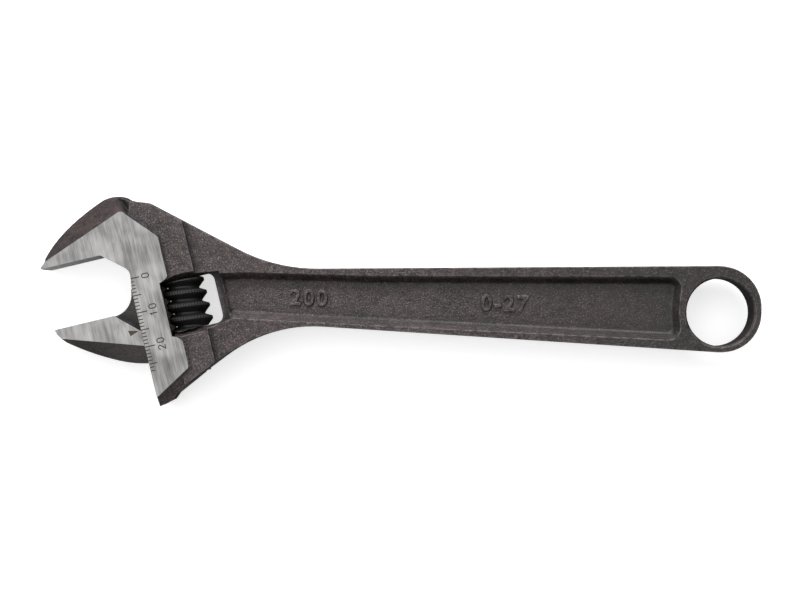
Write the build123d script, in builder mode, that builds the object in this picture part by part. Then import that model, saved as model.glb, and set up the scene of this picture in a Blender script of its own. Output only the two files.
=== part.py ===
from build123d import *
import math
import os

os.makedirs("parts", exist_ok=True)

# Adjustable wrench, 27 mm capacity. Millimetres.
# Frame: origin at the centre of the hanging hole, half way through the thickness.
# +X runs to the hanging end, +Y to the fixed jaw's side, +Z out of the face with the scale.
# The head has its own plane: x across the jaws, y along the slide towards the fixed jaw.
# Its origin is where the fixed jaw's face line meets the slide track.

# Overall
handle_reach = 172.0      # hanging hole to the head's origin, along the handle
head_rise = 12.8          # head's origin above the hanging hole
head_angle = 15.0         # slide track leans this far from square to the handle
jaw_opening = 17.8        # gap between the jaws at rest

# Thicknesses, each measured from the middle plane
cheek_half = 7.4          # ground cheek with the scale
boss_half = 6.5           # forged boss behind the cheek
handle_half = 4.9         # neck and handle rim
web_floor = 2.4           # floor of the handle's recess
jaw_half = 6.9            # ground cheek of the movable jaw

# Handle
hole_radius = 9.75
hole_chamfer = 0.5
handle_axis_y = 0.93      # handle's centreline above the hanging hole
handle_end = 11.96        # rounded end beyond the hole's centre
half_width_at_hole = 12.6
half_taper = 2.05         # degrees each side
end_radius_upper = 12.2
end_radius_lower = 11.5
neck_radius_upper = 50.0
neck_radius_lower = 42.0
forging_draft = 2.5
rim_rounding = 1.9
rim_width = 3.2
rim_width_lower = 2.8
recess_taper = 38.0
recess_floor_fillet = 1.0
recess_corner = 3.4
recess_end = 11.0         # recess stops this far short of the hanging hole's centre
recess_end_bulge = 0.9
recess_neck = 36.0        # from the head's origin to where the recess turns along the handle
recess_narrow = 52.0      # to the narrowest place of its lower edge
recess_straight = 72.0    # to where its upper edge starts to widen
neck_upper_edge = 7.6     # recess's edges at the neck, from the hanging hole's height
neck_lower_edge = -5.9
narrow_lower_edge = -6.3

# Head
jaw_depth = 23.9          # tip of the jaws to the slide track
track_length = 46.0       # face line to the lower end of the track
apron_slope = 48.0        # degrees from upright, cheek's edge down to the boss
cheek_land = 1.35         # cheek metal beside the bore, towards the worm
shoulder_across = 10.1    # corner where the boss's back slope starts
shoulder_up = 11.85
back_slope = 40.9
boss_length = 6.9         # cheek's edge to the step down to the neck
step_run = 1.0
under_height = -42.1      # boss's lower slope, below the window's inner side
under_slope = 0.437
boss_rounding = 1.6
end_wall_half = 5.2       # height of the upright end wall round the bore
cheek_top_knee = (2.1, 11.0)
cheek_corner = 1.4        # where the cheek's back edge meets its upright edge
cheek_foot = -37.0        # where that edge meets the lower diagonal
cheek_foot_tip = -43.9    # the diagonal's lower end, at the track
cheek_tip_run = 1.8       # flat on top of the jaw's tip

# Slide: round rod in a keyhole bore, joined to the jaw by a flat web
rod_diameter = 9.0
rod_across = 5.0          # track to the rod's axis
rod_above_face = 8.0
rod_below_face = 20.0
rod_clearance = 0.08
rod_end_room = 0.6
rod_end_chamfer = 0.6
web_thickness = 5.4
web_clearance = 0.12
track_clearance = 0.15
heel_radius = 6.4

# Worm
worm_diameter = 12.5
worm_pitch = 3.8
worm_length = 14.3
thread_depth = 1.83
worm_chamfer = 0.4
worm_end_lip = 0.3
thread_tip = 0.67
flank_upper = 28.0
flank_lower = 42.0
worm_centre_q = -19.15    # worm's middle, along the slide
thread_phase_q = -20.45   # a thread crest on the side away from the rack
worm_end_room = 0.15
root_clearance = 0.15
mesh_clearance = 0.14
rack_flat = 0.25
thumb_room = 3.2          # window beyond the worm
window_inset = 0.6        # window's inner side, inside the worm's outer radius
window_corner = 2.2
notch_above = 1.4         # cheek's notch round the window runs this far beyond it
notch_below = 1.2
notch_slope = 1.5
pocket_flare = 1.5
pocket_floor_room = 2.0   # pocket runs this far past the window, into the recess

# Worm pin and its spring
pin_diameter = 3.5
pin_clearance = 0.09
pin_seat_clearance = 0.02
pin_depth_above = 5.0
pin_head_diameter = 4.6
pin_head_length = 4.0
pin_recess = 0.6
pin_slot_width = 0.8
pin_slot_depth = 1.0
spring_wire = 0.7
spring_diameter = 5.6
spring_room = 0.3
spring_seat_depth = 5.0
spring_turns = 5

# Scale
scale_zero = -8.57        # zero mark along the slide
scale_marks = 27
mark_lengths = {1: 1.3, 5: 2.4, 10: 3.0}
mark_width = 0.3
mark_depth = 0.16
numeral_height = 2.3
numeral_width = 1.45
numeral_pitch = 2.0
numeral_across = 4.75
numeral_flag = 0.45       # foot of the 1's flag, beside its stem
pointer_tip = (-0.8, -5.8)
pointer_back = ((-3.7, -5.1), (-3.35, -6.75))

# Worked out from the sizes above
lean = math.radians(head_angle)
across_dir = Vector(math.cos(lean), math.sin(lean), 0)
slide_dir = Vector(-math.sin(lean), math.cos(lean), 0)
head = Plane(origin=(-handle_reach, head_rise, 0), x_dir=across_dir, z_dir=(0, 0, 1))
movable = Plane(origin=head.from_local_coords((0, -jaw_opening, 0)), x_dir=across_dir, z_dir=(0, 0, 1))
rod_radius = rod_diameter / 2
bore_radius = rod_radius + rod_clearance
slot_half = web_thickness / 2 + web_clearance
worm_radius = worm_diameter / 2
worm_root = worm_radius - thread_depth
worm_across = rod_across + rod_radius - rack_flat + worm_root + root_clearance
cheek_edge = rod_across + rod_radius + cheek_land
window_left = worm_across - worm_radius + window_inset
window_right = worm_across + worm_radius + thumb_room
window_half = worm_length / 2 + worm_end_room
window_top = worm_centre_q + window_half
window_bottom = worm_centre_q - window_half
step_start = cheek_edge + boss_length
step_end = step_start + step_run


def back_line(across):
    """Height of the boss's back slope, in the head's plane."""
    return shoulder_up - math.tan(math.radians(back_slope)) * (across - shoulder_across)


def under_line(across):
    """Height of the boss's lower slope, in the head's plane."""
    return under_height + under_slope * (across - window_left)


def head_point(across, along):
    point = head.from_local_coords((across, along, 0))
    return (point.X, point.Y)


def handle_edge(x, side):
    """Point on the handle's tapered edge; side is +1 above and -1 below."""
    half = half_width_at_hole + math.tan(math.radians(half_taper)) * x
    return (x, handle_axis_y + side * half)


def meet(line_a, line_b):
    """Crossing point of two lines, each given by two points."""
    (x1, y1), (x2, y2) = line_a
    (x3, y3), (x4, y4) = line_b
    turn = (x1 - x2) * (y3 - y4) - (y1 - y2) * (x3 - x4)
    first = x1 * y2 - y1 * x2
    second = x3 * y4 - y3 * x4
    return ((first * (x3 - x4) - (x1 - x2) * second) / turn, (first * (y3 - y4) - (y1 - y2) * second) / turn)


def outline(points, radii=None):
    """Closed outline as a flat face, with its corners rounded if radii are given."""
    with BuildSketch() as drawn:
        with BuildLine():
            if radii:
                FilletPolyline(*points, radius=radii, close=True)
            else:
                Polyline(*points, close=True)
        make_face()
    return drawn.sketch


# Cheek: the ground land that carries the jaw, the throat and the track
notch_top = window_top + notch_above
notch_bottom = window_bottom - notch_below
tip_top = (-jaw_depth + cheek_tip_run, cheek_tip_run)
cheek_outline = [
    (-jaw_depth, -2.0),
    (-jaw_depth, 0.0),
    tip_top,
    cheek_top_knee,
    (cheek_edge, cheek_corner),
    (cheek_edge, notch_top),
    (window_left, notch_top - notch_slope),
    (window_left, notch_bottom),
    (cheek_edge, notch_bottom - notch_slope * 0.8),
    (cheek_edge, cheek_foot),
    (-1.0, cheek_foot_tip),
    (-1.0, -9.0),
]
cheek_radii = [0, 0, 0.6, 1.5, 2.0, 1.0, 0.4, 0.6, 1.2, 1.2, 0, 0]


def numeral_sketch(numeral):
    """A scale numeral drawn with one stroke width, standing on the local origin's middle."""
    half_w = numeral_width / 2 - mark_width / 2
    half_h = numeral_height / 2 - mark_width / 2
    with BuildSketch() as drawn:
        if numeral == "0":
            SlotOverall(numeral_height, numeral_width, rotation=90)
            inner_h = numeral_height - 2 * mark_width
            SlotOverall(inner_h, numeral_width - 2 * mark_width, rotation=90, mode=Mode.SUBTRACT)
        else:
            with BuildLine():
                if numeral == "1":
                    Polyline((-numeral_flag, half_h - numeral_flag), (0, half_h), (0, -half_h))
                else:
                    ThreePointArc((-half_w, half_h - half_w), (0, half_h), (half_w, half_h - half_w))
                    Polyline((half_w, half_h - half_w), (-half_w, -half_h), (half_w, -half_h))
            trace(line_width=mark_width)
    return drawn.sketch


# Neck and handle, upper half of the thickness
top_line = (handle_edge(-60, 1), handle_edge(0, 1))
bottom_line = (handle_edge(-60, -1), handle_edge(0, -1))
back_top = (head_point(shoulder_across, shoulder_up), head_point(22.0, back_line(22.0)))
back_bottom = (head_point(14.0, under_line(14.0)), head_point(20.0, under_line(20.0)))
neck_outline = [
    head_point(14.0, back_line(14.0)),
    meet(back_top, top_line),
    handle_edge(handle_end, 1),
    handle_edge(handle_end, -1),
    meet(back_bottom, bottom_line),
    head_point(14.0, under_line(14.0)),
]
neck_radii = [0, neck_radius_upper, end_radius_upper, end_radius_lower, neck_radius_lower, 0]
with BuildPart() as handle_half_part:
    add(outline(neck_outline, neck_radii))
    extrude(amount=handle_half, taper=forging_draft)
    rim = handle_half_part.faces().sort_by(Axis.Z)[-1]
    fillet(rim.outer_wire().edges(), radius=rim_rounding)

# Boss behind the cheek, upper half
with BuildPart() as boss_part:
    boss_outline = [
        (6.0, 13.3),
        (shoulder_across, shoulder_up),
        (step_end, back_line(step_end)),
        (step_end, under_line(step_end)),
        (window_left, under_line(window_left)),
        (cheek_edge - 1.5, 2.0),
    ]
    with BuildSketch(head):
        add(outline(boss_outline, [0, 2.0, 0, 0, 0, 0]))
    extrude(amount=boss_half, taper=forging_draft)
    boss_top = boss_part.faces().sort_by(Axis.Z)[-1]
    outline_edges = [(edge, head.to_local_coords(edge.center())) for edge in boss_top.edges()]
    outer = [edge for edge, at in outline_edges if at.Y > back_line(at.X) - 2 or at.Y < -38]
    fillet(outer, radius=boss_rounding)
    step_plane = Plane(
        origin=head.from_local_coords((step_start, 0, boss_half)),
        x_dir=(-slide_dir.X, -slide_dir.Y, 0),
        z_dir=across_dir * (boss_half - handle_half) + Vector(0, 0, step_run),
    )
    split(bisect_by=step_plane, keep=Keep.BOTTOM)

# Fixed jaw: flank ruled from the parting line up to the cheek's edge
with BuildPart() as fixed_jaw_part:
    with BuildSketch(head):
        with BuildLine():
            flank_start = (-jaw_depth + 0.5, 3.2)
            Polyline((-2.0, -9.0), (-jaw_depth - 0.4, -2.0), (-jaw_depth - 0.3, 1.0), flank_start)
            Spline(flank_start, (-19.8, 6.7), (-13.3, 11.15), (-3.6, 15.65))
            ThreePointArc((-3.6, 15.65), (0.1, 16.1), (4.0, 14.85))
            Polyline((4.0, 14.85), (12.0, 7.5), (12.0, -9.0), (-2.0, -9.0))
        make_face()
    with BuildSketch(head.offset(cheek_half)):
        with BuildLine():
            Polyline((-2.0, -9.0), (-jaw_depth, -2.0), (-jaw_depth, 0.4), (tip_top[0], tip_top[1]))
            Line(tip_top, (0.6, 10.45))
            ThreePointArc((0.6, 10.45), (2.1, 10.75), (3.2, 9.8))
            cheek_side = cheek_edge - 0.4
            Polyline((3.2, 9.8), (cheek_side, cheek_corner), (cheek_side, -9.0), (-2.0, -9.0))
        make_face()
    loft(ruled=True)

# Slope between the jaw's flank and the boss
with BuildPart() as shoulder_part:
    with BuildSketch(head):
        add(outline([(0.6, 15.9), (7.0, 12.9), (9.0, 2.5), (3.0, 9.0)]))
    with BuildSketch(head.offset(boss_half)):
        add(outline([(5.2, 13.1), (7.0, 12.4), (9.0, 2.5), (3.8, 9.2)]))
    loft(ruled=True)

# Lower end of the head: upright wall round the bore, then a slope up to the cheek
end_wall = outline([
    (-1.0, -30.0),
    (-1.0, -46.3),
    (3.7, -45.1),
    (5.4, -43.6),
    (14.0, under_line(14.0) + 0.1),
    (14.0, -30.0),
])
end_crown = outline([
    (-1.0, -30.0),
    (-1.0, -43.0),
    (2.2, -41.15),
    (4.0, -40.1),
    (cheek_edge, cheek_foot + 0.8),
    (cheek_edge, -30.0),
])
with BuildPart() as lower_end_part:
    with BuildSketch(head):
        add(end_wall)
    extrude(amount=end_wall_half)
    with BuildSketch(head.offset(end_wall_half)):
        add(end_wall)
    with BuildSketch(head.offset(cheek_half)):
        add(end_crown)
    loft(ruled=True)

# Cheek: upright down to the middle, with a sloped apron down onto the boss
cheek_face = outline(cheek_outline, cheek_radii)
with BuildPart() as cheek_part:
    with BuildSketch(head.offset(cheek_half)):
        add(cheek_face)
    extrude(amount=-cheek_half)
    with BuildSketch(head.offset(cheek_half)):
        add(cheek_face)
    extrude(amount=boss_half - cheek_half - 0.2, taper=-apron_slope)

# Mouth between the jaws, and the throat
mouth_foot = -track_length - 3.0
mouth_outline = [
    (-jaw_depth - 3.0, 0.0),
    (-6.5, 0.0),
    (0.8, -6.2),
    (0.0, -12.0),
    (0.0, mouth_foot),
    (-jaw_depth - 3.0, mouth_foot),
]
with BuildPart() as mouth:
    with BuildSketch(head):
        add(outline(mouth_outline, [0, 0.8, 3.0, 0, 0, 0]))
    extrude(amount=cheek_half + 1, both=True)

# Slideway: round bore for the rod, open to the track through a slot
bore_foot = head.from_local_coords((rod_across, mouth_foot, 0))
bore_start = Plane(origin=bore_foot, x_dir=across_dir, z_dir=slide_dir)
slot_outline = [
    (rod_across, heel_radius + rod_end_room),
    (-1.6, heel_radius + rod_end_room),
    (-7.2, rod_end_room),
    (-9.0, -2.0),
    (-9.0, mouth_foot),
    (rod_across, mouth_foot),
]
with BuildPart() as slideway:
    with BuildSketch(bore_start):
        Circle(bore_radius)
    extrude(amount=rod_above_face + rod_end_room - mouth_foot)
    with BuildSketch(head):
        add(outline(slot_outline))
    extrude(amount=slot_half, both=True)

# Window for the worm, and the flared pocket that leads to it on both faces
window_outline = [
    (window_left, window_bottom),
    (window_right, window_bottom),
    (window_right, window_top),
    (window_left, window_top),
]
with BuildPart() as window:
    with BuildSketch(head):
        add(outline(window_outline, [0, window_corner, window_corner, 0]))
    extrude(amount=cheek_half + 1, both=True)


def pocket_outline(flare):
    """Pocket's outline; the flare opens it towards the cheek, less at its ends."""
    pocket_right = window_right + pocket_floor_room
    return outline([
        (window_left, window_bottom - 0.6 * flare),
        (worm_across - 3.8, window_bottom - flare),
        (worm_across + 4.4, window_bottom - flare),
        (pocket_right, window_bottom + 0.2 * flare),
        (pocket_right, window_top - 0.2 * flare),
        (worm_across + 3.8, window_top + flare),
        (worm_across - 1.2, window_top + flare),
        (window_left, window_top + 0.1 * flare),
    ])


with BuildPart() as pocket:
    with BuildSketch(head.offset(web_floor)):
        add(pocket_outline(0))
    with BuildSketch(head.offset(boss_half)):
        add(pocket_outline(pocket_flare))
    loft(ruled=True)
    extrude(pocket.faces().sort_by(Axis.Z)[-1], amount=3.0)
    mirror(about=Plane.XY)

# Recess in the handle, running into the worm's pocket
upper_end = handle_edge(-recess_end, 1)[1] - rim_width
lower_end = handle_edge(-recess_end, -1)[1] + rim_width_lower
recess_outline = [
    head_point(window_right + 1.0, window_top - 0.6),
    (recess_neck - handle_reach, neck_upper_edge),
    (recess_straight - handle_reach, neck_upper_edge),
    (-recess_end, upper_end),
    (-recess_end - recess_end_bulge, (upper_end + lower_end) / 2),
    (-recess_end, lower_end),
    (recess_narrow - handle_reach, narrow_lower_edge),
    (recess_neck - handle_reach, neck_lower_edge),
    head_point(window_right + 1.0, window_bottom + 0.9),
]
with BuildPart() as recess:
    with BuildSketch(Plane.XY.offset(handle_half)):
        add(outline(recess_outline, [0, 6, 30, recess_corner, 16, recess_corner, 0, 6, 0]))
    extrude(amount=web_floor - handle_half, taper=recess_taper)
    floor_edges = recess.faces().sort_by(Axis.Z)[0].edges()
    fillet(floor_edges, radius=recess_floor_fillet)
    extrude(recess.faces().sort_by(Axis.Z)[-1], amount=3.0)
    mirror(about=Plane.XY)

# Pin's axis, from its upper end down to the head's lower slope
pin_start = window_top + pin_depth_above
pin_top = head.from_local_coords((worm_across, pin_start, 0))
pin_axis = Plane(origin=pin_top, x_dir=across_dir, z_dir=-slide_dir)
pin_foot = pin_start - under_line(worm_across)
pin_head_start = pin_foot - pin_recess - pin_head_length


def is_hole_rim(edge):
    """True for the hanging hole's two edges."""
    return abs(edge.radius - hole_radius) < 0.01 and abs(abs(edge.center().Z) - handle_half) < 0.01


def mark_length(count):
    """Length of a scale mark: longest at the tens, shorter at the fives."""
    step = 10 if count % 10 == 0 else 5 if count % 5 == 0 else 1
    return mark_lengths[step]


with BuildPart() as body:
    for piece in (handle_half_part, boss_part, fixed_jaw_part, shoulder_part, lower_end_part, cheek_part):
        add(piece.part)
    mirror(about=Plane.XY)
    for cutter in (mouth, slideway, window, pocket, recess):
        add(cutter.part, mode=Mode.SUBTRACT)
    with BuildSketch():
        Circle(hole_radius)
    extrude(amount=handle_half + 1, both=True, mode=Mode.SUBTRACT)
    chamfer(body.edges().filter_by(GeomType.CIRCLE).filter_by(is_hole_rim), length=hole_chamfer)
    with BuildSketch(pin_axis.offset(-pin_seat_clearance)):
        Circle(pin_diameter / 2 + pin_seat_clearance)
    extrude(amount=pin_foot + 3.0, mode=Mode.SUBTRACT)
    with BuildSketch(pin_axis.offset(pin_head_start - pin_seat_clearance)):
        Circle(pin_head_diameter / 2 + pin_seat_clearance)
    extrude(amount=pin_head_length + 6.0, mode=Mode.SUBTRACT)
    with BuildSketch(head.offset(cheek_half)):
        for count in range(scale_marks + 1):
            length = mark_length(count)
            with Locations((length / 2 - 0.5, scale_zero - count)):
                Rectangle(length + 1.0, mark_width)
    extrude(amount=-mark_depth, mode=Mode.SUBTRACT)
    for count in (0, 10, 20):
        text = str(count)
        for place, numeral in enumerate(text):
            along = scale_zero - count + (place - (len(text) - 1) / 2) * numeral_pitch
            at = head.from_local_coords((numeral_across, along, cheek_half))
            with BuildSketch(Plane(origin=at, x_dir=slide_dir, z_dir=(0, 0, 1))):
                add(numeral_sketch(numeral))
            extrude(amount=-mark_depth, mode=Mode.SUBTRACT)
body.part.label = "body"
export_step(body.part, "parts/body.step")

# Movable jaw: nose, web and rod with its rack
nose_heel = [(-track_clearance, -5.95), (-6.35, -0.25), (-6.7, 0.0)]
with BuildPart() as nose:
    with BuildSketch(movable):
        with BuildLine():
            tip = (-jaw_depth - 0.3, 0.0)
            chin = (-jaw_depth + 1.0, -4.1)
            belly = (-track_clearance, -15.6)
            Polyline(tip, (-jaw_depth - 0.1, -2.3), chin)
            Spline(chin, (-18.4, -7.4), (-12.1, -11.25), (-7.3, -13.6), belly)
            Polyline(belly, *nose_heel, tip)
        make_face()
    with BuildSketch(movable.offset(jaw_half)):
        with BuildLine():
            cheek_tip = (-jaw_depth - 0.2, 0.0)
            Polyline(
                cheek_tip,
                (-jaw_depth + 0.2, -1.6),
                (-jaw_depth + 1.1, -2.85),
                (-track_clearance, -10.3),
                *nose_heel,
                cheek_tip,
            )
        make_face()
    loft(ruled=True)
    mirror(about=Plane.XY)

# The web joins the nose to the rod, and is hollowed to an arc below the throat
web_left = -0.9
arc_corner = 1 - math.sqrt(0.5)
rod_plane = Plane(origin=movable.from_local_coords((rod_across, 0, 0)), x_dir=across_dir, z_dir=slide_dir)
lead_angle = math.degrees(math.atan(worm_pitch / (math.pi * (worm_diameter - thread_depth))))

# Rack: grooves that follow the worm's thread, with the mesh clearance all round
rack_across = rod_across + rod_radius - rack_flat
groove_depth = worm_radius - (worm_across - rack_across) + mesh_clearance
groove_reach = groove_depth + 0.3
groove_foot = thread_tip / 2 + mesh_clearance
groove_top = groove_foot + groove_reach * math.tan(math.radians(flank_upper))
groove_bottom = groove_foot + groove_reach * math.tan(math.radians(flank_lower))
groove_outline = [
    (0, groove_foot),
    (groove_reach, groove_top),
    (groove_reach, -groove_bottom),
    (0, -groove_foot),
]
first_groove = thread_phase_q + jaw_opening + worm_pitch / 2
grooves_up = math.ceil((rod_above_face - first_groove) / worm_pitch)
grooves_down = math.ceil((rod_below_face + first_groove) / worm_pitch)


def is_rod_end(edge):
    """True for the round edges at the rod's two ends."""
    return abs(edge.radius - rod_radius) < 0.01 and edge.length > 2 * rod_diameter


with BuildPart() as movable_jaw:
    add(nose.part)
    with BuildSketch(movable):
        with BuildLine():
            Line((rod_across, heel_radius), (web_left, heel_radius))
            ThreePointArc(
                (web_left, heel_radius),
                (web_left - heel_radius * arc_corner, heel_radius * arc_corner),
                (web_left - heel_radius, 0.0),
            )
            Polyline(
                (web_left - heel_radius, 0.0),
                (web_left - heel_radius, -4.0),
                (-track_clearance, -12.0),
                (-track_clearance, -15.6),
                (rod_across, -15.6),
                (rod_across, heel_radius),
            )
        make_face()
    extrude(amount=web_thickness / 2, both=True)
    with BuildSketch(rod_plane.offset(-rod_below_face)):
        Circle(rod_radius)
    extrude(amount=rod_below_face + rod_above_face)
    chamfer(movable_jaw.edges().filter_by(GeomType.CIRCLE).filter_by(is_rod_end), length=rod_end_chamfer)
    with BuildSketch(movable):
        with Locations((rack_across + 1.0, (rod_above_face - rod_below_face) / 2)):
            Rectangle(2.0, rod_above_face + rod_below_face + 2.0)
    extrude(amount=rod_radius, both=True, mode=Mode.SUBTRACT)
    for step in range(-grooves_down, grooves_up + 1):
        groove_along = first_groove + step * worm_pitch
        groove_plane = Plane(
            origin=movable.from_local_coords((rack_across - groove_depth, groove_along, 0)),
            x_dir=across_dir,
            z_dir=Vector(0, 0, 1) - slide_dir * math.tan(math.radians(lead_angle)),
        )
        with BuildSketch(groove_plane):
            add(outline(groove_outline))
        extrude(amount=rod_radius + 1.0, both=True, mode=Mode.SUBTRACT)
    with BuildSketch(movable.offset(jaw_half)):
        add(outline([pointer_tip, *pointer_back]))
    extrude(amount=-mark_depth, mode=Mode.SUBTRACT)
movable_jaw.part.label = "movable_jaw"
export_step(movable_jaw.part, "parts/movable_jaw.step")

# Worm: the thread's cross-section twisted along the axis, then trimmed and bored
thread_trim = 0.9         # thread made longer at both ends, then trimmed
section_turn = 100.0      # angle of the crest in the section as drawn, degrees
worm_foot_q = worm_centre_q - worm_length / 2
worm_turn = 360 * (thread_phase_q - worm_foot_q + thread_trim) / worm_pitch - section_turn
worm_foot = head.from_local_coords((worm_across, worm_foot_q, 0))
worm_plane = Plane(origin=worm_foot, x_dir=across_dir, z_dir=slide_dir)


def thread_point(radius, height):
    """Point of the thread's section that lies this far along the axis from the crest."""
    turn = 2 * math.pi * height / worm_pitch + math.radians(section_turn)
    return (radius * math.cos(turn), radius * math.sin(turn))


def thread_flank(radius_a, height_a, radius_b, height_b):
    """Points of one flank in the section, evenly spaced from foot to tip or tip to foot."""
    steps = [count / 4 for count in range(5)]
    return [
        thread_point(radius_a + (radius_b - radius_a) * step, height_a + (height_b - height_a) * step)
        for step in steps
    ]


tip_half = thread_tip / 2
foot_above = tip_half + thread_depth * math.tan(math.radians(flank_upper))
foot_below = tip_half + thread_depth * math.tan(math.radians(flank_lower))
with BuildSketch() as thread_section:
    with BuildLine():
        Spline(*thread_flank(worm_root, -foot_below, worm_radius, -tip_half))
        ThreePointArc(*[thread_point(worm_radius, height) for height in (-tip_half, 0, tip_half)])
        Spline(*thread_flank(worm_radius, tip_half, worm_root, foot_above))
        root_end = worm_pitch - foot_below
        root_heights = (foot_above, (foot_above + root_end) / 2, root_end)
        ThreePointArc(*[thread_point(worm_root, height) for height in root_heights])
    make_face()
thread_length = worm_length + 2 * thread_trim
worm_blank = Solid.extrude_linear_with_rotation(
    thread_section.sketch.faces()[0],
    center=(0, 0, 0),
    normal=(0, 0, thread_length),
    angle=-360 * thread_length / worm_pitch,
).moved(Location((0, 0, -thread_trim)))
worm_bore = pin_diameter / 2 + pin_clearance
seat_bore = spring_diameter / 2 + spring_room
with BuildPart() as worm_envelope:
    with BuildSketch(Plane.XZ):
        with BuildLine():
            Polyline(
                (worm_bore, 0),
                (worm_radius - worm_chamfer, 0),
                (worm_radius + worm_end_lip, worm_chamfer + worm_end_lip),
                (worm_radius + worm_end_lip, worm_length - worm_chamfer - worm_end_lip),
                (worm_radius - worm_chamfer, worm_length),
                (seat_bore, worm_length),
                (seat_bore, worm_length - spring_seat_depth),
                (worm_bore, worm_length - spring_seat_depth),
                close=True,
            )
        make_face()
    revolve(axis=Axis.Z)
with BuildPart() as worm_upright:
    add(worm_blank)
    add(worm_envelope.part, mode=Mode.INTERSECT)
adjusting_worm = worm_upright.part.rotate(Axis.Z, worm_turn).moved(worm_plane.location)
adjusting_worm.label = "adjusting_worm"
export_step(adjusting_worm, "parts/adjusting_worm.step")

# Pin: plain shank with a slotted end below
with BuildPart() as worm_pin:
    with BuildSketch(pin_axis):
        Circle(pin_diameter / 2)
    extrude(amount=pin_foot - pin_recess)
    with BuildSketch(pin_axis.offset(pin_head_start)):
        Circle(pin_head_diameter / 2)
    extrude(amount=pin_head_length)
    with BuildSketch(pin_axis.offset(pin_head_start + pin_head_length)):
        Rectangle(pin_head_diameter + 1, pin_slot_width)
    extrude(amount=-pin_slot_depth, mode=Mode.SUBTRACT)
worm_pin.part.label = "worm_pin"
export_step(worm_pin.part, "parts/worm_pin.step")

# Spring in the worm's upper end, pushing it down against the window
spring_length = spring_seat_depth + worm_end_room
spring_rise = spring_length - spring_wire
with BuildPart() as spring_upright:
    with BuildLine() as coil:
        coil_radius = (spring_diameter - spring_wire) / 2
        Helix(pitch=spring_rise / spring_turns, height=spring_rise, radius=coil_radius)
    with BuildSketch(Plane(origin=coil.line @ 0, z_dir=coil.line % 0)):
        Circle(spring_wire / 2)
    sweep(path=coil.line, is_frenet=True)
spring_foot = head.from_local_coords((worm_across, window_top - spring_wire / 2 - spring_rise, 0))
spring_plane = Plane(origin=spring_foot, x_dir=across_dir, z_dir=slide_dir)
worm_spring = spring_upright.part.moved(spring_plane.location)
worm_spring.label = "worm_spring"
export_step(worm_spring, "parts/worm_spring.step")
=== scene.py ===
import math
import bpy
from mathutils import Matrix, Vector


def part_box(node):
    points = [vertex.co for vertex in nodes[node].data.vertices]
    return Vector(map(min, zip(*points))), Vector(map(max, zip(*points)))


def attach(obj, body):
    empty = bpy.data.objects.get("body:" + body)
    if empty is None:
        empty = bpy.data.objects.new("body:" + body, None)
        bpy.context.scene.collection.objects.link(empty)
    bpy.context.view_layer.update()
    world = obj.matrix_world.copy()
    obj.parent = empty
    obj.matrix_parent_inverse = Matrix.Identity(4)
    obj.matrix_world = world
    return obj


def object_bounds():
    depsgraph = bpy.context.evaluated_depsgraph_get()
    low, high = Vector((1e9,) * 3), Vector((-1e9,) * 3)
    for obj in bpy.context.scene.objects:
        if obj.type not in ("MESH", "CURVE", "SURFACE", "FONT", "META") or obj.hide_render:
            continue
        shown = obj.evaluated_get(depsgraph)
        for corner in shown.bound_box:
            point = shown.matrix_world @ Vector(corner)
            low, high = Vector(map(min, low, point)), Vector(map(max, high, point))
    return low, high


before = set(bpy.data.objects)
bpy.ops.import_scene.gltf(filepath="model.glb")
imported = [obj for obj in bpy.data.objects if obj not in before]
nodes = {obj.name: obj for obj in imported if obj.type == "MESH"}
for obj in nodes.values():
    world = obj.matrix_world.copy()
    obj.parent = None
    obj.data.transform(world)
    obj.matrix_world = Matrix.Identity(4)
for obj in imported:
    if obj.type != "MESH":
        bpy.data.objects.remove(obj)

mm = 0.001
cadBounds = [list(corner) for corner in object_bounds()]


class Wire:  # one output socket, so that shader maths reads as plain sums
    def __init__(self, finish, socket):
        self.finish = finish
        self.socket = socket

    def sum(self, operation, first, second=0.0):
        return self.finish.node("ShaderNodeMath", {"operation": operation}, {0: first, 1: second})

    def __add__(self, other):
        return self.sum("ADD", self, other)

    def __radd__(self, other):
        return self.sum("ADD", other, self)

    def __sub__(self, other):
        return self.sum("SUBTRACT", self, other)

    def __rsub__(self, other):
        return self.sum("SUBTRACT", other, self)

    def __mul__(self, other):
        return self.sum("MULTIPLY", self, other)

    def __rmul__(self, other):
        return self.sum("MULTIPLY", other, self)

    def __pow__(self, other):
        return self.sum("POWER", self, other)

    def __abs__(self):
        return self.sum("ABSOLUTE", self)

    def __gt__(self, other):
        return self.sum("GREATER_THAN", self, other)

    def __lt__(self, other):
        return self.sum("LESS_THAN", self, other)

    def either(self, other):
        return self.sum("MAXIMUM", self, other)

    def rise(self, low, high):  # 0 below low, 1 above high, smooth between
        return self.finish.node("ShaderNodeMapRange", {"interpolation_type": "SMOOTHSTEP"},
                                {"Value": self, "From Min": low, "From Max": high})


edges = {
    "samples": 6,
    "edgeTurn": (0.008, 0.10),     # how far a rounded edge turns before it is lightened, as wear and as painted highlight
    "cornerSamples": 8,
    "corner": (0.68, 0.99),    # share of open space, from a deep corner to a flat
}


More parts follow.
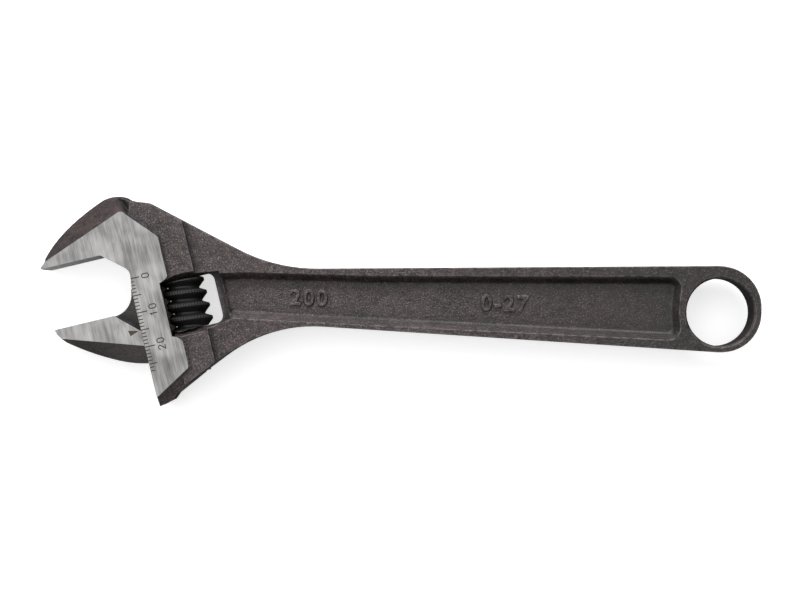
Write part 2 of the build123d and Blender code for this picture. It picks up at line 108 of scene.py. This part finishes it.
class Finish:  # the nodes of one material, or of the world
    def __init__(self, owner):
        self.owner = owner
        owner.use_nodes = True
        self.tree = owner.node_tree
        self.tree.nodes.clear()

    def node(self, kind, settings=None, sockets=None, out=0):
        made = self.tree.nodes.new(kind)
        for name, value in (settings or {}).items():
            setattr(made, name, value)
        for name, value in (sockets or {}).items():
            if isinstance(value, Wire):
                self.tree.links.new(value.socket, made.inputs[name])
            else:
                made.inputs[name].default_value = value
        if isinstance(out, tuple):
            return [Wire(self, made.outputs[name]) for name in out]
        return Wire(self, made.outputs[out]) if out is not None else made

    def place(self):  # piece's own coordinates in mm, in the head's plane
        coords = self.node("ShaderNodeTexCoord", out="Object")
        return self.node("ShaderNodeMapping", {"vector_type": "TEXTURE"}, {
            "Vector": coords,
            "Location": head["centre"],
            "Rotation": (0, 0, math.radians(head["turn"])),
            "Scale": (mm, mm, mm),
        })

    def split(self, vector):
        return self.node("ShaderNodeSeparateXYZ", {}, {0: vector}, out=("X", "Y", "Z"))

    def join(self, x, y, z):
        return self.node("ShaderNodeCombineXYZ", {}, {0: x, 1: y, 2: z})

    def noise(self, vector, scale, detail=2.0, roughness=0.5):
        return self.node("ShaderNodeTexNoise", {}, {
            "Vector": vector, "Scale": scale, "Detail": detail, "Roughness": roughness})

    def blend(self, factor, first, second):
        return self.node("ShaderNodeMix", {"data_type": "RGBA"}, {0: factor, 6: first, 7: second}, out=2)

    def along(self, vector, direction):  # how far a vector points in a direction
        return self.node("ShaderNodeVectorMath", {"operation": "DOT_PRODUCT"},
                         {0: vector, 1: direction}, out="Value")

    def rounded(self, edge):  # edge in mm
        return self.node("ShaderNodeBevel", {"samples": edges["samples"]}, {"Radius": edge * mm})

    def wornAndLitEdges(self, edge):  # 1 on sharp outer and inner edges, which are lightened as wear and as painted highlight
        flat = self.node("ShaderNodeNewGeometry", out="True Normal")
        return (1 - self.along(self.rounded(edge), flat)).rise(*edges["edgeTurn"])

    def hollow(self, reach):  # 1 deep in corners, 0 in the open
        clear = self.node("ShaderNodeAmbientOcclusion",
                          {"samples": edges["cornerSamples"], "only_local": True},
                          {"Distance": reach * mm}, out="AO")
        return 1 - clear.rise(*edges["corner"])

    def surface(self, colour, metallic, roughness, height, edge, crisp=None, **fixed):  # height in mm
        normal = self.rounded(edge)
        if crisp:  # where this is 1, edges stay sharp
            flat = self.node("ShaderNodeNewGeometry", out="Normal")
            normal = self.blend(crisp, normal, flat)
        bumped = self.node("ShaderNodeBump", {}, {"Distance": mm, "Height": height, "Normal": normal})
        shader = self.node("ShaderNodeBsdfPrincipled", {}, {
            "Base Color": colour, "Metallic": metallic, "Roughness": roughness, "Normal": bumped, **fixed})
        self.node("ShaderNodeOutputMaterial", {}, {"Surface": shader}, out=None)
        return self.owner


def newFinish(name):
    return Finish(bpy.data.materials.new(name))


def dress(piece, material):
    piece.data.materials.clear()
    piece.data.materials.append(material)


# Head's plane: turned from the handle, x across the jaws, y along the slide, in mm from its corner
head = {
    "centre": (-0.172, 0.0128, 0.0),
    "turn": 15.0,
}

forging = {
    "dark": (0.0015, 0.0012, 0.0012, 1),
    "light": (0.068, 0.0475, 0.0465, 1),
    "speck": (0.27, 0.225, 0.218, 1),
    # lighter edges: wear on outer edges, painted highlight along rims and recess corners
    "wornAndHighlit": (0.21, 0.188, 0.18, 1),
    # painted shade: near-black laid into corners, creases and the feet of steps
    "cornerShadeColour": (0.0006, 0.0005, 0.0005, 1),
    "grain": 1.7,              # grains per mm
    "lump": 0.40,              # lumps per mm
    "cloud": 0.07,             # broad patches per mm
    "finer": 1.5,              # specks are this much finer than the grain
    "share": (0.5, 0.3, 0.2),  # of grain, lumps and patches in the tone
    "specks": (0.12, 0.42),    # how much they show: everywhere, and more where it is coarse
    "edgeWearAndHighlight": 0.7,                # reach of lightened edges, mm, and how much they show: worn outer edges and painted highlight lines
    "cornerShadeReach": 4.5,         # mm out of the corners
    "cornerShadeShow": 0.85,
    "pit": 0.34,               # depth of the grain, mm
    "smoothPit": 0.16,         # share of that depth where it is smooth
    "roughness": 0.27,
    "towardsEnd": (55.0, 165.0),     # towards the handle's end, mm from the head: painted shade darkens it where the light falls off, and handling makes it smoother
    "endShade": 0.5,
    "endSmooth": 0.7,
    "edge": 0.45,              # rounding of sharp edges, mm
    "letterEdge": 0.10,
}

groundSteel = {
    "dark": (0.11, 0.107, 0.105, 1),
    "light": (0.59, 0.582, 0.579, 1),
    "mark": (0.060, 0.042, 0.030, 1),   # inside the scale's marks
    "face": (0.72, 0.715, 0.71, 1),     # jaw faces, pale: painted reflection of the bright floor on the ground steel
    "faceReflectionShow": 0.7,
    "streaks": (9.0, 0.16),    # per mm across and along the slide
    "bands": (0.9, 0.07),
    "patches": (0.16, 0.13),
    "share": (0.34, 0.26, 0.40),        # of streaks, bands and patches in the tone
    "scratches": (1.3, 0.035),
    "scratchWidth": 0.006,
    "scratched": (0.5, 0.12),  # areas that have scratches
    "scratchLayer": 7.0,       # keeps those areas apart from the other patterns
    "roughness": 0.36,
    "cheekMetal": 0.75,
    "faceMetal": 0.20,
}


def forgedColour(finish, place, coarse, towardsEnd):  # scaly black finish: colour, roughness and height
    grain = finish.noise(place, forging["grain"], 4.0, 0.7)
    lump = finish.noise(place, forging["lump"], 3.0, 0.55)
    cloud = finish.noise(place, forging["cloud"], 2.0)
    speck = finish.noise(place, forging["grain"] * forging["finer"], 2.0, 0.6).rise(0.55, 0.68)
    ofGrain, ofLump, ofCloud = forging["share"]
    shade = grain.rise(0.42, 0.62) * ofGrain + lump.rise(0.38, 0.62) * ofLump + cloud.rise(0.35, 0.65) * ofCloud
    # painted shade: the smooth jaw end is up to a fifth darker, standing in for the shade on its flanks
    shade = shade * (0.80 + coarse * 0.20) * (1 - towardsEnd * forging["endShade"])
    wornAndHighlit = finish.wornAndLitEdges(forging["edgeWearAndHighlight"]) * lump.rise(0.36, 0.58) * forging["edgeWearAndHighlight"]
    everywhere, whereCoarse = forging["specks"]
    colour = finish.blend(shade, forging["dark"], forging["light"])
    colour = finish.blend(speck * (everywhere + coarse * whereCoarse), colour, forging["speck"])
    # painted highlight and wear: edges lightened
    colour = finish.blend(wornAndHighlit, colour, forging["wornAndHighlit"])
    # painted shade: corners and creases darkened by ambient occlusion
    paintedCornerShade = finish.hollow(forging["cornerShadeReach"]) * forging["cornerShadeShow"]
    colour = finish.blend(paintedCornerShade, colour, forging["cornerShadeColour"])
    roughness = forging["roughness"] + grain * 0.20 - wornAndHighlit * 0.12 + (1 - coarse) * 0.10
    depth = forging["pit"] * (forging["smoothPit"] + coarse * (1 - forging["smoothPit"]))
    height = (grain + lump * 0.8) * depth
    return colour, roughness, height


def groundColour(finish, across, along, z):  # streaks run along the slide
    def streak(size, depth, *shape):
        return finish.noise(finish.join(across * size[0], along * size[1], depth), 1.0, *shape)

    fine = streak(groundSteel["streaks"], z, 3.0, 0.6)
    band = streak(groundSteel["bands"], z, 3.0, 0.55)
    patch = streak(groundSteel["patches"], z, 2.0)
    scratch = abs(streak(groundSteel["scratches"], z, 1.0) - 0.5) < groundSteel["scratchWidth"]
    scratched = streak(groundSteel["scratched"], z + groundSteel["scratchLayer"], 1.0).rise(0.5, 0.62)
    scratch = scratch * scratched
    ofFine, ofBand, ofPatch = groundSteel["share"]
    shade = fine.rise(0.25, 0.75) * ofFine + band.rise(0.3, 0.7) * ofBand + patch.rise(0.25, 0.75) * ofPatch
    colour = finish.blend(shade - scratch * 0.35, groundSteel["dark"], groundSteel["light"])
    roughness = groundSteel["roughness"] + fine * 0.14 + scratch * 0.1
    height = fine * 0.008 - scratch * 0.01
    return colour, roughness, height


def forgedAndGround(name, node, jawFaces, coarseFrom, edge):  # forging with ground cheeks and jaw faces
    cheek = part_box(node)[1][2] / mm
    finish = newFinish(name)
    place = finish.place()
    across, along, z = finish.split(place)
    normal = finish.node("ShaderNodeNewGeometry", out="True Normal")
    upright = abs(finish.along(normal, (0, 0, 1)))
    onCheek = (upright > 0.97) * (abs(z) > cheek - 0.3)
    mark = onCheek * (abs(z) < cheek - 0.06)
    ground = onCheek.either(jawFaces(across, along, upright))
    onFace = ground * (1 - onCheek)
    # painted shade: darker towards the handle's end, where the light falls off
    towardsEnd = across.rise(*forging["towardsEnd"])
    coarse = (across.rise(*coarseFrom) * 0.7 + 0.3) * (1 - towardsEnd * forging["endSmooth"])
    blackColour, blackRoughness, blackHeight = forgedColour(finish, place, coarse, towardsEnd)
    steelColour, steelRoughness, steelHeight = groundColour(finish, across, along, z)
    colour = finish.blend(ground, blackColour, steelColour)
    # painted reflection: jaw faces made pale, as if mirroring the bright floor
    colour = finish.blend(onFace * groundSteel["faceReflectionShow"], colour, groundSteel["face"])
    colour = finish.blend(mark, colour, groundSteel["mark"])
    metallic = (onCheek * groundSteel["cheekMetal"] + ground * groundSteel["faceMetal"]) * (1 - mark)
    roughness = blackRoughness * (1 - ground) + steelRoughness * ground + mark * 0.35
    height = blackHeight * (1 - ground) + steelHeight * ground
    return finish.surface(colour, metallic, roughness, height, edge, ground, IOR=1.5)


def bodyFaces(across, along, upright):  # fixed jaw's face, throat and slide track
    return (upright < 0.08) * (across < 1.2) * (along < 0.1) * (along > -43.0)


def jawFace(across, along, upright):  # movable jaw's face
    return (upright < 0.08) * (across < -6.0) * (along > -17.9)


dress(nodes["body"], forgedAndGround("forgedBody", "body", bodyFaces, (1.0, 9.0), forging["edge"]))
dress(nodes["movable_jaw"],
      forgedAndGround("forgedJaw", "movable_jaw", jawFace, (4.0, 30.0), forging["edge"]))
print("forgings finished")

worm = {
    "axis": 13.85,             # across, in the head's plane, mm
    "ridges": 44,
    "crest": 5.75,             # radius where the ridges start, mm
    "dark": (0.0022, 0.0020, 0.0020, 1),
    "light": (0.030, 0.027, 0.026, 1),
    "wornAndHighlit": (0.06, 0.055, 0.052, 1),
    "ridgeHeight": 0.07,       # mm
    "roughness": 0.42,
    "edge": 0.12,              # mm
}


def wormFinish():
    finish = newFinish("blackWorm")
    place = finish.place()
    across, along, z = finish.split(place)
    out = across - worm["axis"]
    radius = (out * out + z * z) ** 0.5
    angle = finish.node("ShaderNodeMath", {"operation": "ARCTAN2"}, {0: z, 1: out})
    ridge = finish.node("ShaderNodeMath", {"operation": "SINE"}, {0: angle * worm["ridges"]})
    onCrest = radius.rise(worm["crest"] - 0.15, worm["crest"] + 0.15)
    grain = finish.noise(place, 3.0, 3.0, 0.6)
    shade = onCrest * (0.35 + ridge * 0.25) + grain.rise(0.45, 0.75) * 0.25
    wornAndHighlit = finish.wornAndLitEdges(0.3) * 0.25
    colour = finish.blend(shade, worm["dark"], worm["light"])
    colour = finish.blend(wornAndHighlit, colour, worm["wornAndHighlit"])
    height = ridge * onCrest * worm["ridgeHeight"] + grain * 0.03
    roughness = worm["roughness"] + grain * 0.15
    return finish.surface(colour, 0.0, roughness, height, worm["edge"], IOR=1.5)


turned = {
    "pinDark": (0.10, 0.095, 0.09, 1),
    "pinLight": (0.36, 0.35, 0.34, 1),
    "pinRings": 6.0,           # per mm
    "springDark": (0.08, 0.075, 0.07, 1),
    "springLight": (0.30, 0.29, 0.28, 1),
    "springRings": 9.0,
    "metallic": 0.9,
    "edge": 0.15,              # mm
}


def turnedFinish(name, dark, light, ringsPerMm):  # turned or drawn steel with rings round its axis
    finish = newFinish(name)
    place = finish.place()
    across, along, z = finish.split(place)
    rings = finish.noise(finish.join(along * ringsPerMm, across * 0.2, z * 0.2), 1.0, 3.0)
    stain = finish.noise(place, 0.8, 3.0)
    colour = finish.blend(rings * 0.6 + stain * 0.4, dark, light)
    return finish.surface(colour, turned["metallic"], 0.3 + stain * 0.25, rings * 0.015, turned["edge"])


dress(nodes["adjusting_worm"], wormFinish())
dress(nodes["worm_pin"],
      turnedFinish("turnedPin", turned["pinDark"], turned["pinLight"], turned["pinRings"]))
dress(nodes["worm_spring"],
      turnedFinish("springWire", turned["springDark"], turned["springLight"], turned["springRings"]))
print("worm, pin and spring finished")

raisedSizes = {  # generic size markings on the handle's recessed web
    "floor": 2.4,              # web's surface above the middle plane, mm
    "rise": 0.35,
    "slope": 0.30,             # width of the sloping sides
    "letter": 6.4,
    "spacing": 1.2,
    "marks": (("200", -118.5), ("0-27", -62.0)),   # text and its place along the handle
    "height": 0.55,            # letters' middle line above the hanging hole
}


def raiseSizes(face, material):  # face is 1 for the scale's side and -1 for the back
    side = "front" if face > 0 else "back"
    for text, along in raisedSizes["marks"]:
        bpy.ops.object.select_all(action="DESELECT")
        bpy.ops.object.text_add()
        letters = bpy.context.object.data
        letters.body = text
        letters.size = raisedSizes["letter"] * mm
        letters.align_x = "CENTER"
        letters.align_y = "CENTER"
        letters.space_character = raisedSizes["spacing"]
        letters.extrude = raisedSizes["rise"] * mm
        letters.bevel_depth = raisedSizes["slope"] * mm
        letters.bevel_resolution = 0
        letters.resolution_u = 4
        bpy.ops.object.convert(target="MESH")
        mark = bpy.context.object
        mark.name = side + "Size" + text.split("-")[-1]
        mark.rotation_euler = (0 if face > 0 else math.pi, 0, 0)
        mark.location = (along * mm, raisedSizes["height"] * mm, face * raisedSizes["floor"] * mm)
        bpy.ops.object.transform_apply(location=True, rotation=True, scale=True)
        bpy.ops.object.mode_set(mode="EDIT")
        bpy.ops.mesh.select_all(action="SELECT")
        bpy.ops.mesh.remove_doubles(threshold=0.01 * mm)
        bpy.ops.mesh.normals_make_consistent(inside=False)
        bpy.ops.object.mode_set(mode="OBJECT")
        dress(mark, material)
        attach(mark, "handle")


letterFinish = forgedAndGround("forgedLetters", "body", bodyFaces, (1.0, 9.0), forging["letterEdge"])
raiseSizes(1, letterFinish)
raiseSizes(-1, letterFinish)
print("size marks raised")

studio = {
    "floor": (0.72, 0.72, 0.72, 1),
    "card": (0.16, 0.16, 0.16, 1),   # what the steel sees below it
    "glow": 0.62,              # light table under the wrench
    "floorSize": 3.0,
    "gap": 0.00005,            # floor just under the cheeks
    "above": 1.0,              # brightness straight overhead
    "bright": 2.1,             # towards the lit side
    "dim": 0.06,               # towards the other side
    "lit": (-0.55, 0.83, 0.0),
    "horizon": 0.18,
    "backdrop": 0.92,
}


def makeFloor():
    bpy.ops.object.select_all(action="DESELECT")
    low = cadBounds[0][2] - studio["gap"]
    bpy.ops.mesh.primitive_plane_add(size=studio["floorSize"], location=(-0.09, 0, low))
    floor = bpy.context.object
    floor.name = "floor"
    finish = newFinish("paleFloor")
    pale = finish.node("ShaderNodeBsdfPrincipled", {}, {
        "Base Color": studio["floor"], "Roughness": 0.9, "Specular IOR Level": 0.1,
        "Emission Color": (1, 1, 1, 1), "Emission Strength": studio["glow"]})
    card = finish.node("ShaderNodeBsdfDiffuse", {}, {"Color": studio["card"]})
    seen = finish.node("ShaderNodeLightPath", out="Is Camera Ray")
    shader = finish.node("ShaderNodeMixShader", {}, {0: seen, 1: card, 2: pale})
    finish.node("ShaderNodeOutputMaterial", {}, {"Surface": shader}, out=None)
    floor.data.materials.append(finish.owner)


def makeSky():  # soft dome, brighter overhead and towards the lit side, dark near the horizon
    world = bpy.data.worlds.new("softDome")
    bpy.context.scene.world = world
    sky = Finish(world)
    direction = sky.node("ShaderNodeTexCoord", out="Generated")
    side = sky.along(direction, studio["lit"])
    up = sky.split(direction)[2]
    slope = studio["dim"] + side.rise(-0.75, 0.75) * (studio["bright"] - studio["dim"])
    lift = up.rise(0.80, 0.99)
    low = studio["horizon"] + up.rise(0.25, 0.65) * (1 - studio["horizon"])
    strength = (slope * (1 - lift) + lift * studio["above"]) * low
    seen = sky.node("ShaderNodeLightPath", out="Is Camera Ray")
    strength = strength * (1 - seen) + seen * studio["backdrop"]
    shader = sky.node("ShaderNodeBackground", {}, {"Color": (1, 1, 1, 1), "Strength": strength})
    sky.node("ShaderNodeOutputWorld", {}, {"Surface": shader}, out=None)


strips = {  # long lights beside the handle, turned about x in degrees
    "upperSide": {"watts": 4.0, "width": 0.16, "place": (-0.14, 0.54, 0.27), "tilt": -64},
    "lowFill": {"watts": 0.6, "width": 0.03, "place": (-0.16, -0.42, 0.015), "tilt": 90},
}


def makeStrip(name, length=0.6):
    strip = strips[name]
    light = bpy.data.lights.new(name, "AREA")
    light.shape = "RECTANGLE"
    light.size = length
    light.size_y = strip["width"]
    light.energy = strip["watts"]
    holder = bpy.data.objects.new(name, light)
    bpy.context.scene.collection.objects.link(holder)
    holder.location = strip["place"]
    holder.rotation_euler = (math.radians(strip["tilt"]), 0, 0)


camera = {
    "place": (-0.09207, -0.00259, 0.480),
    "turn": 1.667,             # degrees about z
    "lens": 74.43,
    "sensor": 36.0,
    "shift": 0.015,
    "nearest": 0.01,
}


def makeCamera():
    view = bpy.data.cameras.new("camera")
    view.lens = camera["lens"]
    view.sensor_width = camera["sensor"]
    view.shift_y = camera["shift"]
    view.clip_start = camera["nearest"]
    holder = bpy.data.objects.new("camera", view)
    bpy.context.scene.collection.objects.link(holder)
    holder.location = camera["place"]
    holder.rotation_euler = (0, 0, math.radians(camera["turn"]))
    bpy.context.scene.camera = holder


makeFloor()
makeSky()
for name in strips:
    makeStrip(name)
makeCamera()
bpy.context.scene.view_settings.view_transform = "Standard"
print("studio ready")
